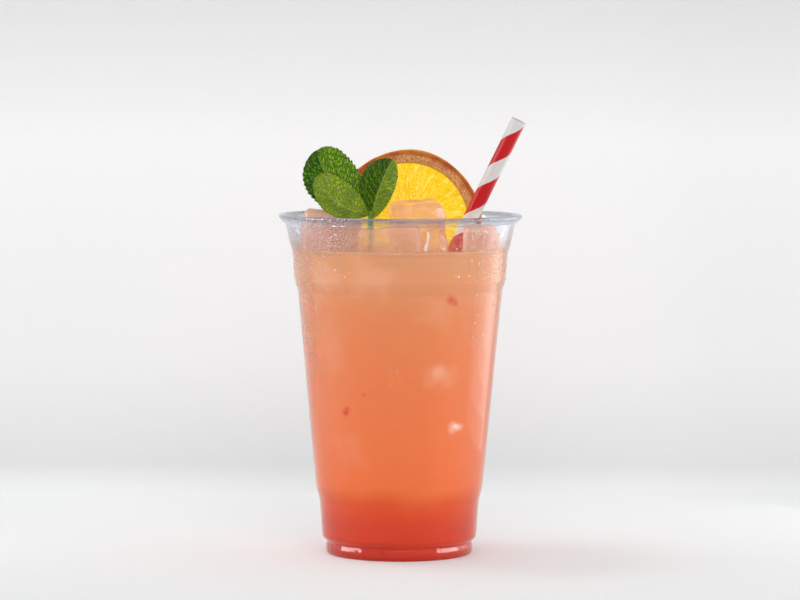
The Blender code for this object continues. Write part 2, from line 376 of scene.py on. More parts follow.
def footRib(height, angle):
    low, high = tumbler["ribHeights"]
    share = (height / mm - low) / (high - low)
    if not 0 < share < 1:
        return 0
    return tumbler["ribDepth"] * mm * math.sin(math.pi * share) * math.cos(tumbler["ribs"] * angle)


def makeTumbler():
    line = wallLine()
    outside, inside = beside(line, -tumbler["wall"] / 2), beside(line, tumbler["wall"] / 2)
    outline = [(r * mm, z * mm) for r, z in outside + inside[::-1]]
    points, faces = turnedMesh(outline, tumbler["turns"], footRib)
    piece = makeObject("clear_tumbler", points, faces, clearPlastic(), 60)
    settle(piece, ["tumbler"])


# The ice
ice = {
    "cubes": {
        "ice_left": ((22.5, 12.5, 19), (-27.9, -8.4, 128.8), (4, 6, 9), 3),
        "ice_middle": ((20, 19, 24), (7.0, -10.5, 130.0), (6, -6, 12), 11),
        "ice_right": ((11.5, 12, 20), (31.2, -15.0, 122.6), (3, 4, -14), 24),
        "ice_front": ((24, 12.5, 20), (-4.0, -31.8, 123.0), (-4, -5, -6), 37),
        "ice_far_left": ((12, 11, 18), (-32.7, 6.8, 119.5), (-6, 4, 4), 41),
        "ice_back_left": ((17, 13, 20), (-14.5, 30.5, 121.5), (-8, 6, 24), 53),
        "ice_back": ((18, 14, 22), (9.0, 31.0, 121.5), (5, -6, -16), 58),
        "ice_back_right": ((13, 14, 18), (33.0, 2.0, 119.5), (-5, 4, 6), 66),
    },
    "rounding": 0.36,
    "melt": 0.05,
    "dents": 0.16,
    "cuts": 22,
    "water": colour(255, 240, 226),
    "cloud": colour(236, 198, 178),
    "deepCloud": colour(222, 154, 122),
    "glow": 0.12,
    # how cloudy each is; the rest are as "others"
    "cloudy": {"ice_left": 0.88, "ice_middle": 0.44, "ice_front": 0.42},
    "others": 0.65,
}


def iceShape(size, centre, turn, seed, cuts, grow=0.0, dents=0.0):
    # the points of a cube with rounded edges and a melted, slightly uneven surface
    shape = bmesh.new()
    bmesh.ops.create_cube(shape, size=2)
    bmesh.ops.subdivide_edges(shape, edges=shape.edges, cuts=cuts, use_grid_fill=True)
    half = Vector(size) * mm / 2
    rounding = ice["rounding"] * min(half)
    core = half - Vector((rounding,) * 3)
    for vert in shape.verts:
        spread = Vector([math.sin(c * math.pi / 2) * h for c, h in zip(vert.co, half)])
        near = Vector([max(-c, min(c, s)) for c, s in zip(core, spread)])
        point = near + (spread - near).normalized() * rounding
        swell = noise.noise(point / (9 * mm) + Vector((seed, seed * 0.7, 0)))
        vert.co = point * (1 + ice["melt"] * 2 * swell)
    shape.normal_update()
    for vert in shape.verts:
        dent = noise.noise(vert.co / (3.1 * mm) + Vector((seed, 0, 5))) * dents
        vert.co += vert.normal * (grow + dent) * mm
    angles = [math.radians(t) for t in turn]
    shape.transform(Matrix.Translation(Vector(centre) * mm) @ Euler(angles).to_matrix().to_4x4())
    points = [tuple(v.co) for v in shape.verts]
    faces = [tuple(v.index for v in f.verts) for f in shape.faces]
    shape.free()
    return points, faces


def cloudyIce(name, share):
    finish = Finish(f"cloudy {name}")
    melt = finish.bump(finish.grain(260, 3.0), 0.25, 0.0005)
    patches = finish.grain(120, 3.0).between(0.35, 0.70)
    clear = finish.skin(
        Base_Color=ice["water"], Roughness=0.24, IOR=1.20, Transmission_Weight=1.0, Normal=melt
    )
    opaqueLayer = finish.blend(patches, ice["cloud"], ice["deepCloud"])
    cloud = finish.skin(
        Base_Color=opaqueLayer,
        Roughness=0.12,
        IOR=1.31,
        Emission_Color=opaqueLayer,
        Emission_Strength=ice["glow"],
        Normal=melt,
    )
    mixed = finish.twoShaders(share * (0.60 + 0.55 * patches), clear, cloud)
    return finish.done(finish.letLampsIn(mixed, (0.98, 0.92, 0.86, 1)))


def makeIce():
    for name, cube in ice["cubes"].items():
        finish = cloudyIce(name, ice["cloudy"].get(name, ice["others"]))
        points, faces = iceShape(*cube, ice["cuts"], dents=ice["dents"])
        settle(makeObject(name + "_melting", points, faces, finish, 80), [name])


# The paper straw
straw = {
    "top": Vector((46.9, -10.0, 174.4)) * mm,
    "foot": Vector((-26.0, 8.6, 23.0)) * mm,
    "radius": 3.0 * mm,
    "wall": 0.45 * mm,
    "pitch": 21.9 * mm,
    "redShare": 0.55,
    "phase": 0.823,
    "sides": 64,
    "rings": 260,
    "red": colour(206, 2, 12),
    "redFibre": colour(228, 40, 36),
    "white": colour(236, 233, 230),
    "whiteFibre": colour(214, 208, 204),
    # how soft a stripe's edge is, and how far it wanders, as shares of the pitch
    "edge": 0.012,
    "wander": 0.02,
}


def strawFrame():
    along = (straw["top"] - straw["foot"]).normalized()
    toRight = (Vector((1, 0, 0)) - along * along.x).normalized()
    toViewer = toRight.cross(along)
    return toRight, toViewer, along


def stripedPaper():
    finish = Finish("striped paper")
    toRight, toViewer, along = strawFrame()
    shift = finish.node("VectorMath", {"operation": "SUBTRACT"}, {0: finish.place(), 1: straw["foot"]})

    def measured(direction):
        return finish.node("VectorMath", {"operation": "DOT_PRODUCT"}, {0: shift, 1: direction}, "Value")

    right, viewer, height = (measured(d) for d in (toRight, toViewer, along))
    turn = finish.node("Math", {"operation": "ARCTAN2"}, {0: viewer, 1: right}) / math.tau
    band = (height / straw["pitch"] + turn + straw["phase"]).wrapped()
    band = band + (finish.grain(900, 3.0) - 0.5) * straw["wander"]
    edge, redEnd = straw["edge"], straw["redShare"]
    red = band.between(0.0, edge) * (1 - band.between(redEnd, redEnd + edge))
    inside = (right * right + viewer * viewer) ** 0.5
    red = red * inside.between(straw["radius"] - straw["wall"], straw["radius"] - 0.3 * straw["wall"])
    fibres = finish.grain(2600, 4.0)
    ink = finish.blend(0.22 * fibres, straw["red"], straw["redFibre"])
    paper = finish.blend(0.30 * fibres, straw["white"], straw["whiteFibre"])
    seam = 1 - abs(band - 0.5).between(0.47, 0.5)
    relief = finish.bump(seam + 0.25 * fibres, 0.35, 0.00012)
    return finish.done(
        finish.skin(
            Base_Color=finish.blend(red, paper, ink), Roughness=0.34, Specular_IOR_Level=0.3, Normal=relief
        )
    )


def strawMesh(outer, bore, low=0.0, sides=None, rings=None):
    # a hollow tube about the straw's line; low lengthens it past its foot
    sides, rings = sides or straw["sides"], rings or straw["rings"]
    toRight, toViewer, along = strawFrame()
    length = (straw["top"] - straw["foot"]).length
    walls = [(low + (length - low) * i / rings, outer) for i in range(rings + 1)]
    walls += [(low + (length - low) * i / rings, bore) for i in range(rings, -1, -1)]
    points, faces = [], []
    for height, radius in walls:
        for i in range(sides):
            angle = math.tau * i / sides
            spoke = toRight * math.cos(angle) + toViewer * math.sin(angle)
            points.append(tuple(straw["foot"] + along * height + spoke * radius))
    for k in range(len(walls)):
        for i in range(sides):
            a, b = k * sides + i, k * sides + (i + 1) % sides
            up = sides if k + 1 < len(walls) else -k * sides
            faces.append((a, a + up, b + up, b))
    return points, faces


def makeStraw():
    points, faces = strawMesh(straw["radius"], straw["radius"] - straw["wall"])
    settle(makeObject("paper_straw", points, faces, stripedPaper()), ["straw"])


# The dried orange wheel
wheel = {
    "radius": 30.0,
    "thickness": 4.2,
    "centre": Vector((2.9, 15.0, 132.0)) * mm,
    "lean": math.radians(-7),
    "segments": 10,
    "rings": 96,
    "turns": 400,
    "pulpEdge": 0.825,
    "pithEdge": 0.925,
    "juicy": colour(255, 214, 0),
    "glowing": colour(255, 238, 104),
    "amber": colour(250, 178, 0),
    "membrane": colour(255, 232, 130),
    "pith": colour(240, 182, 112),
    "dryPith": colour(196, 104, 32),
    "innerLine": colour(214, 152, 60),
    "rind": colour(178, 72, 0),
    "paleRind": colour(206, 116, 26),
    "rindEdge": colour(240, 146, 36),
    "glow": 0.30,
}


def wheelRelief(share, turn):
    # half the slice's thickness, in mm, at a share of its radius
    half = wheel["thickness"] / 2
    spot = Vector((share * math.cos(turn), share * math.sin(turn), 0))
    within = (turn * wheel["segments"] / math.tau) % 1
    membrane = abs(within - 0.5) * 2
    if share > wheel["pithEdge"]:
        pits = noise.noise(spot * 34) * 0.10
        return half * (0.97 - 0.16 * ((share - wheel["pithEdge"]) / (1 - wheel["pithEdge"])) ** 3) + pits
    if share > wheel["pulpEdge"]:
        return half * 0.80 + noise.noise(spot * 17) * 0.22 + noise.noise(spot * 45) * 0.10
    cells = noise.noise(Vector((share * 9, turn * 9, 0))) * 0.22 + noise.noise(spot * 22) * 0.10
    inward = min(1.0, share / 0.10)
    ridge = max(0.0, membrane - 0.86) / 0.14
    rim = max(0.0, share - wheel["pulpEdge"] + 0.03) / 0.03
    dome = 0.70 + inward * (0.20 - 0.26 * membrane**4)
    return half * dome + cells * inward + 0.35 * ridge * inward + 0.25 * rim


def wheelMesh(rings, turns, grow=0.0, relief=True):
    shares = [i / rings for i in range(1, rings + 1)]
    points, faces = [], []
    place = Matrix.Translation(wheel["centre"]) @ Matrix.Rotation(wheel["lean"], 4, "X")
    rows = [(share, -1) for share in shares] + [(share, 1) for share in reversed(shares)]
    for share, side in rows:
        for i in range(turns):
            turn = math.tau * i / turns
            stand = wheelRelief(share, turn) if relief else wheel["thickness"] / 2
            if share == 1:
                stand *= 0.72
            warp = 0.5 * math.sin(2 * turn + 0.6) * share**2
            wobble = 1 + 0.008 * math.sin(5 * turn + 1.0)
            if relief:
                wobble += 0.004 * noise.noise(Vector((math.cos(turn), math.sin(turn), 0)) * 7)
            reach = share * wheel["radius"] * wobble + (grow if share == 1 else 0)
            at = (reach * math.cos(turn), warp + side * (stand + grow), reach * math.sin(turn))
            points.append(tuple(place @ (Vector(at) * mm)))
    for k in range(len(rows) - 1):
        for i in range(turns):
            j = (i + 1) % turns
            faces.append((k * turns + i, k * turns + j, (k + 1) * turns + j, (k + 1) * turns + i))
    faces.append(tuple(range(turns))[::-1])
    faces.append(tuple(range(len(points) - turns, len(points))))
    return points, faces


def driedOrange():
    finish = Finish("dried orange")
    local = finish.node(
        "Mapping", {"vector_type": "TEXTURE"},
        {"Vector": finish.place(), "Location": wheel["centre"], "Rotation": (wheel["lean"], 0, 0)},
    )
    x, _, z = finish.parts(local)
    radius = (x * x + z * z) ** 0.5 / (wheel["radius"] * mm)
    turn = finish.node("Math", {"operation": "ARCTAN2"}, {0: z, 1: x})
    rough = finish.grain(190, 4.0, local)
    share = radius + (rough - 0.5) * 0.012

    # juice cells: long wavy streaks that run out from the centre
    polar = finish.node("CombineXYZ", {}, {"X": radius * 1.5, "Y": turn * 5.2, "Z": 0.3})
    wavy = finish.node("TexNoise", {}, {"Vector": polar, "Scale": 3.0, "Detail": 3.0, "Distortion": 1.2})
    small = finish.node("TexVoronoi", {"feature": "DISTANCE_TO_EDGE"}, {"Vector": local, "Scale": 620.0})
    within = (turn * (wheel["segments"] / math.tau) + 10).wrapped()
    membrane = abs(within - 0.5).between(0.475, 0.5)
    pulp = finish.blend(wavy.between(0.30, 0.44), wheel["amber"], wheel["juicy"])
    pulp = finish.blend(wavy.between(0.52, 0.66), pulp, wheel["glowing"])
    pulp = finish.blend(0.25 * (1 - small.between(0.0, 0.12)), pulp, wheel["amber"])
    pulp = finish.blend(0.55 * membrane, pulp, wheel["membrane"])
    pulp = finish.blend(1 - radius.between(0.05, 0.09), pulp, wheel["membrane"])

    pits = finish.node("TexVoronoi", {}, {"Vector": local, "Scale": 1300.0}).between(0.15, 0.55)
    pith = finish.blend(pits * rough.between(0.3, 0.6), wheel["dryPith"], wheel["pith"])
    rind = finish.blend(rough.between(0.35, 0.65), wheel["rind"], wheel["paleRind"])
    pulpEdge, pithEdge = wheel["pulpEdge"], wheel["pithEdge"]
    shade = finish.blend(share.between(pulpEdge - 0.012, pulpEdge), pulp, wheel["innerLine"])
    shade = finish.blend(share.between(pulpEdge + 0.010, pulpEdge + 0.024), shade, pith)
    shade = finish.blend(share.between(pithEdge, pithEdge + 0.018), shade, rind)
    shade = finish.blend(share.between(0.975, 0.99), shade, wheel["rindEdge"])

    isPulp = 1 - share.between(pulpEdge - 0.012, pulpEdge)
    height = isPulp * (wavy * 0.7 + small * 1.5) + (1 - isPulp) * (rough + pits * 0.8)
    return finish.done(
        finish.skin(
            Base_Color=shade,
            Roughness=0.62 - 0.34 * isPulp,
            IOR=1.4,
            Emission_Color=finish.blend(isPulp, (0, 0, 0, 1), shade),
            Emission_Strength=wheel["glow"],
            Normal=finish.bump(height, 0.5, 0.0006),
        )
    )


def makeWheel():
    points, faces = wheelMesh(wheel["rings"], wheel["turns"])
    settle(makeObject("dried_orange_wheel", points, faces, driedOrange(), 60), ["orange_wheel"])


# The mint
mint = {
    # light: how pale a leaf is; the last number: how far its left half is painted in shade
    "leaves": {
        "back": {
            "length": 35.5, "width": 23.0, "base": (-12.0, -14.9, 136.6), "tip": (-35.0, -3.0, 164.8),
            "face": (0.30, -0.93, 0.30), "fold": 0.22, "curl": 0.08, "bend": 0.50, "pinch": 0.0,
            "light": 0.25, "shadedHalf": 0.75,
        },
        "front": {
            "length": 27.0, "width": 19.0, "base": (-12.0, -15.5, 137.0), "tip": (-34.0, -22.6, 151.2),
            "face": (0.28, -0.80, 0.50), "fold": 0.16, "curl": 0.05, "bend": 0.54, "pinch": 0.50,
            "light": 0.9, "shadedHalf": 0.20,
        },
        "right": {
            "length": 25.5, "width": 15.6, "base": (-11.8, -15.2, 135.4), "tip": (-3.4, -20.0, 159.4),
            "face": (-0.42, -0.86, 0.10), "fold": 0.42, "curl": 0.08, "bend": 0.10, "pinch": 0.0,
            "light": 0.85, "shadedHalf": 0.85,
        },
    },
    "thickness": 0.55,
    "teeth": 17,
    "toothDepth": 0.07,
    "veins": 9,
    "veinRise": 0.30,
    "basePower": 0.72,
    "tipPower": 0.52,
    "peak": 0.430,
    # in mm: how high the puffs between the veins stand, the lumps, and the crease along the middle
    "quilt": 0.75,
    "lumps": 0.22,
    "crease": 0.45,
    "rows": 170,
    "columns": 44,
    "stemTop": Vector((-11.9, -15.2, 138.6)) * mm,
    "stemFoot": Vector((-11.2, -14.0, 108.0)) * mm,
    "stemRadius": 1.15 * mm,
    "stemSides": 40,
    "stemRings": 60,
    "stem": colour(72, 118, 6),
    "stemPale": colour(132, 170, 30),
    # small puffs in the leaf's skin, in mm along a side vein and across it
    "puffs": (1.6, 1.0),
    # deep and olive: painted shade in the furrows; shaded: painted shade on a leaf's darker half
    "deep": colour(22, 70, 0),
    "olive": colour(62, 102, 0),
    "shaded": colour(60, 124, 0),
    "green": colour(112, 178, 0),
    "lime": colour(186, 214, 0),
    "vein": colour(204, 224, 118),
    "under": colour(140, 168, 96),
    "glow": 0.16,
}


def leafHalfWidth(u):
    body = u ** mint["basePower"] * (1 - u) ** mint["tipPower"] / mint["peak"]
    tooth = (u * mint["teeth"]) % 1 - 0.5  # a saw edge that points to the tip
    return max(body * (1 + mint["toothDepth"] * tooth), 0.05)


def leafPoint(leaf, u, s):
    length, width = leaf["length"], leaf["width"]
    across = s * leafHalfWidth(u) * width / 2
    if s < 0:
        across *= 1 - leaf["pinch"] * (1 - u)
    lift = leaf["fold"] * abs(across) - leaf["curl"] * length * (u - 0.35) ** 2
    phase = (u - mint["veinRise"] * abs(s)) * mint["veins"]
    quilt = mint["quilt"] * abs(math.sin(math.pi * phase)) ** 0.7
    lift += quilt * math.sin(math.pi * min(1.0, abs(s) * 1.05)) ** 0.8 * math.sin(math.pi * u)
    lift += mint["lumps"] * noise.noise(Vector((across / 2.2, u * length / 2.2, leaf["light"] * 9)))
    lift -= mint["crease"] * max(0.0, 1 - abs(across) / 0.7) * (1 - u)
    return Vector((across - leaf["bend"] * length * u * (1 - u), u * length, lift))


def leafMesh(leaf):
    rows, columns = mint["rows"], mint["columns"]
    base, tip = Vector(leaf["base"]) * mm, Vector(leaf["tip"]) * mm
    along = (tip - base).normalized()
    side = along.cross(Vector(leaf["face"])).normalized()
    turn = Matrix((side, along, side.cross(along))).transposed()
    points, alongLeaf, acrossLeaf, underLeaf = [], [], [], []
    for level in (1, -1):
        for i in range(rows + 1):
            u = 0.02 + 0.975 * i / rows
            for j in range(columns + 1):
                s = 2 * j / columns - 1
                local = leafPoint(leaf, u, s)
                local.z += level * mint["thickness"] / 2 * (1 - 0.65 * abs(s) ** 3)
                points.append(tuple(base + turn @ (local * mm)))
                alongLeaf.append(u)
                acrossLeaf.append(s)
                underLeaf.append(0.5 - level / 2)
    width, count = columns + 1, (rows + 1) * (columns + 1)
    faces = []
    for i in range(rows):
        for j in range(columns):
            a = i * width + j
            quad = (a, a + 1, a + width + 1, a + width)
            faces.append(quad)
            faces.append(tuple(count + v for v in reversed(quad)))
    border = [i * width for i in range(rows + 1)] + [rows * width + j for j in range(1, width)]
    border += [i * width + columns for i in range(rows - 1, -1, -1)] + list(range(columns - 1, 0, -1))
    for a, b in zip(border, border[1:] + border[:1]):
        faces.append((a, b, b + count, a + count))
    return points, faces, {"alongLeaf": alongLeaf, "acrossLeaf": acrossLeaf, "underLeaf": underLeaf}


def mintLeaf(name, light, shadedHalf):
    finish = Finish(name)
    u, across, under = (finish.value(v) for v in ("alongLeaf", "acrossLeaf", "underLeaf"))
    s = abs(across)
    climb = (u - mint["veinRise"] * s) * mint["veins"]
    phase = (climb + 20.5).wrapped()
    side = 1 - abs(phase - 0.5).between(0.030, 0.095)
    rib = 1 - (s + 0.03 * u).between(0.030, 0.075)  # broadest at the leaf's base
    vein = rib.maths("MAXIMUM", rib, side * (1 - s.between(0.75, 1.0)) * 0.75)
    # the small puffs lie in rows beside the side veins; their tops are painted lit and the furrows between
    # them painted shade
    long, short = mint["puffs"]
    rows = {"X": across * (10 / long), "Y": climb * (3 / short), "Z": light * 7}
    inRows = finish.node("CombineXYZ", {}, rows)
    cells = finish.node("TexVoronoi", {"feature": "DISTANCE_TO_EDGE"}, {"Vector": inRows, "Scale": 1.0})
    puff = cells.between(0.0, 0.22)
    patch = finish.grain(150, 3.0).between(0.30, 0.62)
    halfInShade = shadedHalf * (1 - across.between(-0.12, 0.06))  # one half is painted in shade
    lit = finish.blend(light * (0.5 + 0.5 * patch), mint["green"], mint["lime"])
    # the furrows between the puffs are painted in shade
    furrowShade = finish.blend(light * (1 - halfInShade), mint["deep"], mint["olive"])
    lit = finish.blend(halfInShade, lit, mint["shaded"])
    body = finish.blend(puff * (0.55 + 0.45 * patch), furrowShade, lit)
    body = finish.blend(0.45 * (1 - puff) * light * (1 - halfInShade), body, mint["vein"])
    body = finish.blend((0.40 + 0.5 * light) * vein * (1 - 0.35 * halfInShade), body, mint["vein"])
    body = finish.blend(0.55 * under, body, mint["under"])
    height = puff * 0.9 - vein * 0.8 + finish.grain(1500, 2.0) * 0.15
    return finish.done(
        finish.skin(
            Base_Color=body,
            Roughness=0.46,
            Specular_IOR_Level=0.1,
            Emission_Color=body,
            Emission_Strength=mint["glow"],
            Normal=finish.bump(height, 1.0, 0.0012),
        )
    )


def stemMesh():
    # a square stalk with round corners, thicker towards the leaves
    sides, rings = mint["stemSides"], mint["stemRings"]
    along = (mint["stemTop"] - mint["stemFoot"]).normalized()
    turn = along.to_track_quat("Z", "Y").to_matrix()
    points, faces = [], []
    for k in range(rings + 1):
        share = k / rings
        for i in range(sides):
            angle = math.tau * i / sides
            square = 1 + 0.07 * math.cos(4 * angle)
            lumps = 1 + 0.05 * noise.noise(Vector((math.cos(angle), math.sin(angle), share * 12)))
            radius = mint["stemRadius"] * (0.88 + 0.2 * share) * square * lumps
            radius *= min(1.0, (0.15 + (1 - share) * 22)) ** 0.5
            spoke = turn @ Vector((math.cos(angle), math.sin(angle), 0))
            points.append(tuple(mint["stemFoot"].lerp(mint["stemTop"], share) + spoke * radius))
    for k in range(rings):
        for i in range(sides):
            j = (i + 1) % sides
            faces.append((k * sides + i, k * sides + j, (k + 1) * sides + j, (k + 1) * sides + i))
    faces.append(tuple(range(sides))[::-1])
    faces.append(tuple(range(rings * sides, (rings + 1) * sides)))
    return points, faces


def mintStem():
    finish = Finish("mint stem")
    streak = finish.grain(400, 3.0)
    body = finish.blend(streak, mint["stem"], mint["stemPale"])
    return finish.done(finish.skin(Base_Color=body, Roughness=0.5, Normal=finish.bump(streak, 0.4, 0.0003)))


def makeMint():
    for name, leaf in mint["leaves"].items():
        points, faces, values = leafMesh(leaf)
        finish = mintLeaf(f"mint leaf {name}", leaf["light"], leaf["shadedHalf"])
        settle(makeObject(f"mint_leaf_{name}", points, faces, finish, 70, values), ["mint_sprig"])
    settle(makeObject("mint_stem", *stemMesh(), mintStem()), ["mint_sprig"])


# The drink
drink = {
    "level": 122.1,
    "intoWall": 0.12,
    # it climbs the wall this high, over this width
    "meniscus": 1.1,
    "shore": 3.2,
    "shoreSteps": 8,
    "turns": 160,
    "gap": 0.05,
    "glow": 0.25,
    # seen colour at heights in mm
    "tones": [
        (0, (180, 24, 4)), (7, (208, 46, 4)), (16, (208, 56, 8)), (22, (218, 74, 14)), (29, (230, 112, 52)),
        (48, (229, 119, 62)), (80, (225, 126, 72)), (98, (222, 135, 82)), (112, (220, 150, 102)),
        (122, (211, 152, 108)),
    ],
    # faint blocks of ice behind the skin: centre, half size, turn in degrees, share
    "sunk": [
        ((-30.0, -30.0, 113.0), (5.5, 7.0, 5.5), 12, 0.26),
        ((-11.0, -40.0, 112.0), (7.5, 9.0, 7.0), 8, 0.26),
        ((-21.0, -33.0, 44.0), (6.0, 7.0, 7.0), -14, 0.12),
        ((13.0, -36.0, 99.0), (7.0, 8.0, 5.0), 20, 0.14),
        ((16.0, -34.0, 74.0), (4.5, 7.0, 4.5), -24, 0.22),
        ((-26.0, -28.0, 84.0), (6.5, 7.0, 8.0), 30, 0.12),
        ((6.0, 39.0, 92.0), (8.0, 9.0, 8.0), 10, 0.20),
        ((-30.0, 24.0, 66.0), (8.0, 9.0, 8.0), -10, 0.16),
        ((33.0, 16.0, 58.0), (8.0, 9.0, 8.0), 22, 0.16),
    ],
    "sunkIce": colour(238, 190, 158),
    # spots in the skin, of fruit pulp and painted glints off sunk ice: turn in degrees, height and radius in
    # mm, share
    "spots": {
        "pulp": [
            (-126.0, 59.5, 2.6, 0.85), (-124.0, 61.0, 1.8, 0.60), (-60.5, 104.5, 3.2, 0.70),
            (-57.5, 103.2, 2.0, 0.60), (-112.0, 66.5, 1.4, 0.50), (-75.0, 19.0, 2.0, 0.30),
            (48.0, 88.0, 3.0, 0.70), (112.0, 52.0, 2.6, 0.70), (160.0, 96.0, 2.2, 0.60),
        ],
        "glint": [
            (-51.5, 54.2, 1.9, 0.95), (-54.0, 53.4, 3.6, 0.50), (-48.5, 53.8, 2.6, 0.40),
            (-66.0, 76.0, 4.6, 0.16),
        ],
    },
    "pulp": colour(206, 44, 34),
    "glint": colour(255, 226, 212),
    "speckle": colour(240, 170, 130),
    # how far noise moves the edges of the blocks and of the spots
    "stirred": 9 * mm,
    "torn": 3 * mm,
}


def cloudyDrink():
    finish = Finish("cloudy drink")
    place = finish.place()
    _, _, height = finish.parts(place)
    top = drink["level"] * mm
    stops = [(z / drink["level"], colour(*tone)) for z, tone in drink["tones"]]
    drift = (finish.grain(38, 2.0) - 0.5) * 0.07
    shade = finish.node("ValToRGB", {"stops": stops}, {"Fac": height / top + drift})

    def moved(scale, detail, reach):
        # the place moved by noise, which runs from 0 to 1, and the middle of that move
        swirl = finish.node("TexNoise", {}, {"Vector": place, "Scale": scale, "Detail": detail}, "Color")
        added = {0: swirl, 1: (reach,) * 3, 2: place}
        return finish.node("VectorMath", {"operation": "MULTIPLY_ADD"}, added), Vector((reach / 2,) * 3)

    spread, middle = moved(110.0, 2.0, drink["stirred"])
    for centre, half, turn, share in drink["sunk"]:
        block = finish.node(
            "Mapping", {"vector_type": "TEXTURE"},
            {
                "Vector": spread,
                "Location": Vector(centre) * mm + middle,
                "Rotation": (0, math.radians(turn), math.radians(turn * 2)),
                "Scale": Vector(half) * mm,
            },
        )
        x, y, z = (abs(part) for part in finish.parts(block))
        far = x.maths("MAXIMUM", x.maths("MAXIMUM", x, y), z)
        shade = finish.blend(share * (1 - far.between(0.30, 1.30)), shade, drink["sunkIce"])
    torn, middle = moved(520.0, 3.0, drink["torn"])
    # pulp spots, and painted glints of sunk ice
    for kind, spots in drink["spots"].items():
        for turn, z, radius, share in spots:
            at = wallSpot(turn, z, -tumbler["wall"] / 2)[0] + middle
            away = finish.node("VectorMath", {"operation": "DISTANCE"}, {0: torn, 1: at}, "Value")
            shade = finish.blend(share * (1 - away.between(0, radius * mm)), shade, drink[kind])
    dew, dewGlintAndShadow = fineDew(finish)  # painted droplet shadows and glints, seen against the drink as fine grain
    shade = finish.blend(0.55 * dew, shade, dewGlintAndShadow)
    shade = finish.blend(0.08 * finish.grain(420, 2.0), shade, drink["speckle"])
    isTop = height.between(top - 0.5 * mm, top - 0.1 * mm)
    ripple = finish.bump(finish.grain(90, 1.0), 0.3, 0.0012)
    return finish.done(
        finish.skin(
            Base_Color=shade,
            Roughness=0.55,
            Specular_IOR_Level=0.1,
            Coat_Weight=0.8 * isTop,
            Coat_Roughness=0.05,
            Emission_Color=shade,
            Emission_Strength=drink["glow"],
            Subsurface_Weight=0.35,
            Subsurface_Radius=(1.0, 0.4, 0.2),
            Subsurface_Scale=0.006,
            Normal=ripple,
        )
    )


def drinkOutline():
    inside = beside(wallLine(), tumbler["wall"] / 2 - drink["intoWall"])
    below = [p for p in inside if p[1] < drink["level"] + drink["meniscus"]]
    shore = wallRadius(drink["level"] + drink["meniscus"], -tumbler["wall"] / 2 + drink["intoWall"])
    rise = []
    steps = drink["shoreSteps"]
    for i in range(steps + 1):
        out = 1 - i / steps
        rise.append((shore - drink["shore"] * (1 - out), drink["level"] + drink["meniscus"] * out**4))
    flat = [(shore * share, drink["level"]) for share in (0.85, 0.7, 0.5, 0.3, 0.15)]
    return below + rise + flat + [(0.0, drink["level"])]


def makeDrink():
    outline = [(r * mm, z * mm) for r, z in drinkOutline()]
    points, faces = turnedMesh(outline, drink["turns"])
    body = makeObject("coral_drink", points, faces, cloudyDrink(), 50)
    # coarse copies of what stands in the drink cut their own pockets
    cutters = [iceShape(*cube, 8, grow=drink["gap"]) for cube in ice["cubes"].values()]
    cutters.append(wheelMesh(6, 80, grow=0.25, relief=False))
    hair = drink["gap"] * mm
    bore = straw["radius"] - straw["wall"] - hair
    cutters.append(strawMesh(straw["radius"] + hair, bore, -hair, sides=40, rings=6))
    cutters.append(stemMesh())
    for i, shape in enumerate(cutters):
        cutter = makeObject(f"pocket_{i}", *shape, body.data.materials[0])
        cut = body.modifiers.new(cutter.name, "BOOLEAN")
        cut.operation, cut.object, cut.solver = "DIFFERENCE", cutter, "MANIFOLD"
    graph = bpy.context.evaluated_depsgraph_get()
    body.data = bpy.data.meshes.new_from_object(body.evaluated_get(graph))
    body.modifiers.clear()
    for cutter in [o for o in bpy.data.objects if o.name.startswith("pocket_")]:
        bpy.data.objects.remove(cutter)
    body.data.shade_smooth()
    body.data.set_sharp_from_angle(angle=math.radians(35))
    settle(body, ["drink"])


# Water on and in the tumbler
water = {
    "seed": 7,
    # degrees about Z (the viewer looks at -90), heights and radii in mm
    "zones": [
        {"turns": (-204, -138), "heights": (46, 124), "count": 2100, "radii": (0.09, 0.27)},
        {"turns": (-190, -112), "heights": (90, 134), "count": 420, "radii": (0.10, 0.36)},
        {"turns": (-64, 16), "heights": (80, 134), "count": 620, "radii": (0.10, 0.42)},
        {"turns": (-112, -74), "heights": (62, 84), "count": 60, "radii": (0.12, 0.26)},
        {"turns": (0, 180), "heights": (40, 122), "count": 700, "radii": (0.10, 0.44)},
        {"turns": (-146, -40), "heights": (30, 118), "count": 110, "radii": (0.09, 0.20)},
    ],
    "zonePeak": 0.8,
    "flatness": 0.45,
    # one run of water down the wall: turn, top and foot in mm, half width
    "run": (-76.5, 131.2, 124.4, 0.85),
    "runSteps": 12,
    # bubbles along the edge of the drink; past this radius they ride up its rise
    "shoreBubbles": 190,
    "shoreRadii": (0.25, 0.8),
    "shoreRise": 41.5,
    # wet beads on the inside of the wall above the drink
    "bandBubbles": 420,
    "bandRadii": (0.12, 0.42),
    "bandTurns": ((-160, -118), (-62, -8), (0, 180)),
    "bandHeights": (123.5, 132),
    "rings": 4,
    "sides": 8,
    # part of each drop is a pale opaque layer, a painted sheen that makes the drops read as bright specks
    "sheenShare": 0.40,
    "opaqueLayer": colour(246, 232, 226),
}


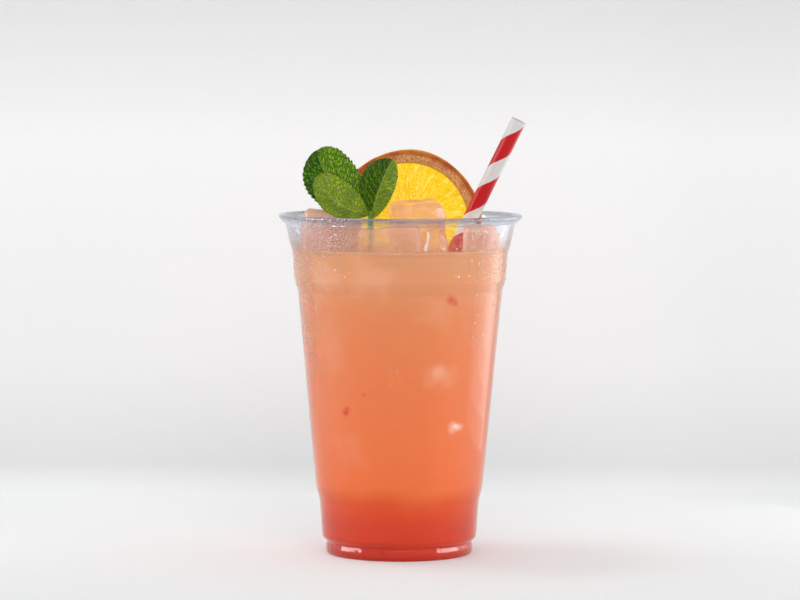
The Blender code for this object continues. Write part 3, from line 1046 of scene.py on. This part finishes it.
def ballMesh(centre, radii, turn):
    rings, sides = water["rings"], water["sides"]
    points, faces = [tuple(centre + turn @ Vector((0, 0, radii[2])))], []
    for k in range(1, rings):
        tilt = math.pi * k / rings
        wide = math.sin(tilt)
        for i in range(sides):
            angle = math.tau * i / sides
            local = Vector((wide * math.cos(angle), wide * math.sin(angle), math.cos(tilt)))
            points.append(tuple(centre + turn @ Vector([a * b for a, b in zip(local, radii)])))
    points.append(tuple(centre - turn @ Vector((0, 0, radii[2]))))
    last = len(points) - 1
    for i in range(sides):
        j = (i + 1) % sides
        faces.append((0, 1 + i, 1 + j))
        for k in range(rings - 2):
            a, b = 1 + k * sides, 1 + (k + 1) * sides
            faces.append((a + i, b + i, b + j, a + j))
        faces.append((last, last - sides + j, last - sides + i))
    return points, faces


def joinedBalls(name, balls, material):
    points, faces = [], []
    for ball in balls:
        more, ballFaces = ballMesh(*ball)
        faces += [tuple(v + len(points) for v in face) for face in ballFaces]
        points += more
    settle(makeObject(name, points, faces, material, 180))


def onWall(turn, height, offset, radii):
    at, outward = wallSpot(turn, height, offset)
    return at, radii, outward.to_track_quat("Z", "Y").to_matrix()


def waterFinish():
    finish = Finish("water drops")
    clear = finish.skin(Base_Color=(1, 1, 1, 1), Roughness=0.02, IOR=1.33, Transmission_Weight=1.0)
    # the pale opaque layer is a painted sheen on the drops
    opaqueLayer = finish.skin(Base_Color=water["opaqueLayer"], Roughness=0.08, IOR=1.33)
    wet = finish.twoShaders(water["sheenShare"], clear, opaqueLayer)
    return finish.done(finish.letLampsIn(wet, (0.97, 0.97, 0.97, 1)))


def makeWater():
    random.seed(water["seed"])
    finish = waterFinish()
    outside, inside = tumbler["wall"] / 2, -tumbler["wall"] / 2
    drops = []
    for zone in water["zones"]:
        for _ in range(zone["count"]):
            low, high = zone["radii"]
            radius = (low + (high - low) * random.random() ** 3) * mm
            radii = (radius, radius * random.uniform(0.9, 1.25), radius * water["flatness"])
            # fewer towards the zone's edges
            low, high = zone["heights"]
            height = random.triangular(low, high, low + water["zonePeak"] * (high - low))
            drops.append(onWall(random.triangular(*zone["turns"]), height, outside, radii))
    joinedBalls("condensation", drops, finish)

    bubbles = []
    flat = Matrix.Identity(3)
    for _ in range(water["shoreBubbles"]):
        radius = random.uniform(*water["shoreRadii"])
        turn = random.uniform(0, math.tau)
        reach = wallRadius(drink["level"] + 1, inside) - radius - 0.1 - abs(random.gauss(0, 0.8))
        rise = drink["level"] + 0.15 * radius + (0.5 if reach > water["shoreRise"] else 0.1)
        at = Vector((reach * math.cos(turn), reach * math.sin(turn), rise)) * mm
        bubbles.append((at, (radius * mm,) * 3, flat))
    for _ in range(water["bandBubbles"]):
        radius = random.uniform(*water["bandRadii"]) * mm
        turn = random.choice([random.uniform(*turns) for turns in water["bandTurns"]])
        height = random.uniform(*water["bandHeights"])
        bubbles.append(onWall(turn, height, inside, (radius, radius, radius * 0.6)))
    turn, top, foot, half = water["run"]
    for i in range(water["runSteps"]):  # the run is wider and fuller at its foot
        share = i / (water["runSteps"] - 1)
        wide = half * (0.55 + 0.45 * share + 0.2 * math.sin(9 * share)) * mm
        sway, height = 0.5 * math.sin(5 * share), top + (foot - top) * share
        bubbles.append(onWall(turn + sway, height, outside, (wide, 0.6 * mm, 0.3 * mm)))
    joinedBalls("bubbles", bubbles, finish)


# Camera, floor and light
view = {
    "distance": 1.5,
    "height": 0.200,
    "pitch": 0.0652,
    "roll": math.radians(-0.22),
    "aside": -0.0004,
    "lens": 168.5,
}


def makeCamera():
    camera = bpy.data.cameras.new("camera")
    camera.lens, camera.sensor_width = view["lens"], 36
    holder = bpy.data.objects.new("camera", camera)
    holder.location = (view["aside"], -view["distance"], view["height"])
    holder.rotation_euler = (math.pi / 2 - view["pitch"], view["roll"], 0)
    bpy.context.scene.collection.objects.link(holder)
    bpy.context.scene.camera = holder


room = {
    "wallBehind": 0.215,
    "wallTop": 2.4,
    "floorFront": -2.2,
    "halfWidth": 2.6,
    "bend": 0.014,
    "bendSteps": 16,
    # colours of the paper at heights in m: painted shade in the bend, lightest at 0.16 m, painted shade
    # towards the top
    "paper": [
        (0.0, (234, 235, 234)), (0.002, (234, 235, 234)), (0.012, (223, 224, 224)), (0.06, (238, 238, 238)),
        (0.16, (247, 247, 247)), (0.32, (196, 196, 196)),
    ],
    "paperGlow": 0.16,
    "sky": (0.93, 0.95, 1.0, 1),
    "skyStrength": 0.48,
    # name: place, aimed at, size, watts, colour; the strips and cards stand just out of view
    "lamps": {
        "window_left": ((-0.40, -0.30, 1.00), (0, 0, 0.10), (0.4, 0.4), 0.3, (1.0, 0.98, 0.95)),
        "front_fill": ((0.10, -1.25, 1.00), (0, 0, 0.08), (1.0, 0.7), 6.2, (1, 1, 1)),
        "high_left": ((-0.34, 0.12, 0.80), (0, 0, 0.0), (0.28, 0.28), 1.1, (1, 1, 1)),
        "strip_left": ((-0.19, 0.005, 0.16), (0, 0, 0.14), (0.10, 0.32), 0.02, (1, 1, 1)),
        "strip_right": ((0.19, 0.08, 0.16), (0, 0, 0.14), (0.18, 0.32), 0.03, (1, 1, 1)),
        "pale_1": ((0.20, 0.080, 0.17), (0, 0, 0.14), (0.20, 0.34), 0.150, (1, 1, 1)),
        "pale_2": ((0.20, 0.085, 0.17), (0, 0, 0.14), (0.15, 0.31), 0.100, (1, 1, 1)),
        "pale_3": ((0.20, 0.090, 0.17), (0, 0, 0.14), (0.10, 0.28), 0.060, (1, 1, 1)),
        "pale_4": ((0.20, 0.095, 0.17), (0, 0, 0.14), (0.06, 0.25), 0.032, (1, 1, 1)),
        "card_left": ((-0.60, -0.065, 0.18), (0, 0, 0.01), (0.38, 0.29), 4.6, (1, 1, 1)),
        "card_right": ((0.60, -0.065, 0.18), (0, 0, 0.01), (0.44, 0.29), 5.3, (1, 0.99, 0.98)),
    },
    # these only shine in gloss
    "cards": ("pale_1", "pale_2", "pale_3", "pale_4", "card_left", "card_right"),
}


def makeRoom():
    # a floor that bends up into the wall, its colour changing with height: painted shade in the bend and
    # towards the top
    finish = Finish("studio paper")
    _, _, height = finish.parts(finish.place())
    tall = room["paper"][-1][0]
    stops = [(z / tall, colour(*tone)) for z, tone in room["paper"]]
    paper = finish.node("ValToRGB", {"stops": stops}, {"Fac": height / tall})
    depth, wide, bend = room["wallBehind"], room["halfWidth"], room["bend"]
    section = [(room["floorFront"], 0.0)]
    for i in range(room["bendSteps"] + 1):
        angle = math.pi / 2 * i / room["bendSteps"]
        section.append((depth - bend + bend * math.sin(angle), bend - bend * math.cos(angle)))
    section.append((depth, room["wallTop"]))
    points = [(x, y, z) for y, z in section for x in (-wide, wide)]
    faces = [(i, i + 1, i + 3, i + 2) for i in range(0, len(points) - 2, 2)]
    glow = room["paperGlow"]
    matt = finish.skin(
        Base_Color=paper, Roughness=0.9, IOR=1.3, Emission_Color=paper, Emission_Strength=glow
    )
    makeObject("studio_sweep", points, faces, finish.done(matt))


def makeLight():
    world = bpy.data.worlds.new("studio")
    world.use_nodes = True
    sky = world.node_tree.nodes["Background"]
    sky.inputs["Color"].default_value = room["sky"]
    sky.inputs["Strength"].default_value = room["skyStrength"]
    bpy.context.scene.world = world
    for name, (place, target, size, watts, shade) in room["lamps"].items():
        lamp = bpy.data.lights.new(name, "AREA")
        lamp.shape, lamp.size, lamp.size_y = "RECTANGLE", *size
        lamp.energy, lamp.color = watts, shade
        holder = bpy.data.objects.new(name, lamp)
        holder.location = place
        holder.rotation_euler = (Vector(target) - Vector(place)).to_track_quat("-Z", "Y").to_euler()
        holder.visible_diffuse = holder.visible_transmission = name not in room["cards"]
        bpy.context.scene.collection.objects.link(holder)
    bpy.context.scene.view_settings.view_transform = "Standard"


makeCamera()
makeRoom()
makeLight()
print("camera and studio ready")
makeTumbler()
print("tumbler made")
makeDrink()
print("drink made")
makeIce()
makeStraw()
print("ice and straw made")
makeWheel()
makeMint()
print("orange wheel and mint made")
makeWater()
print("water made")
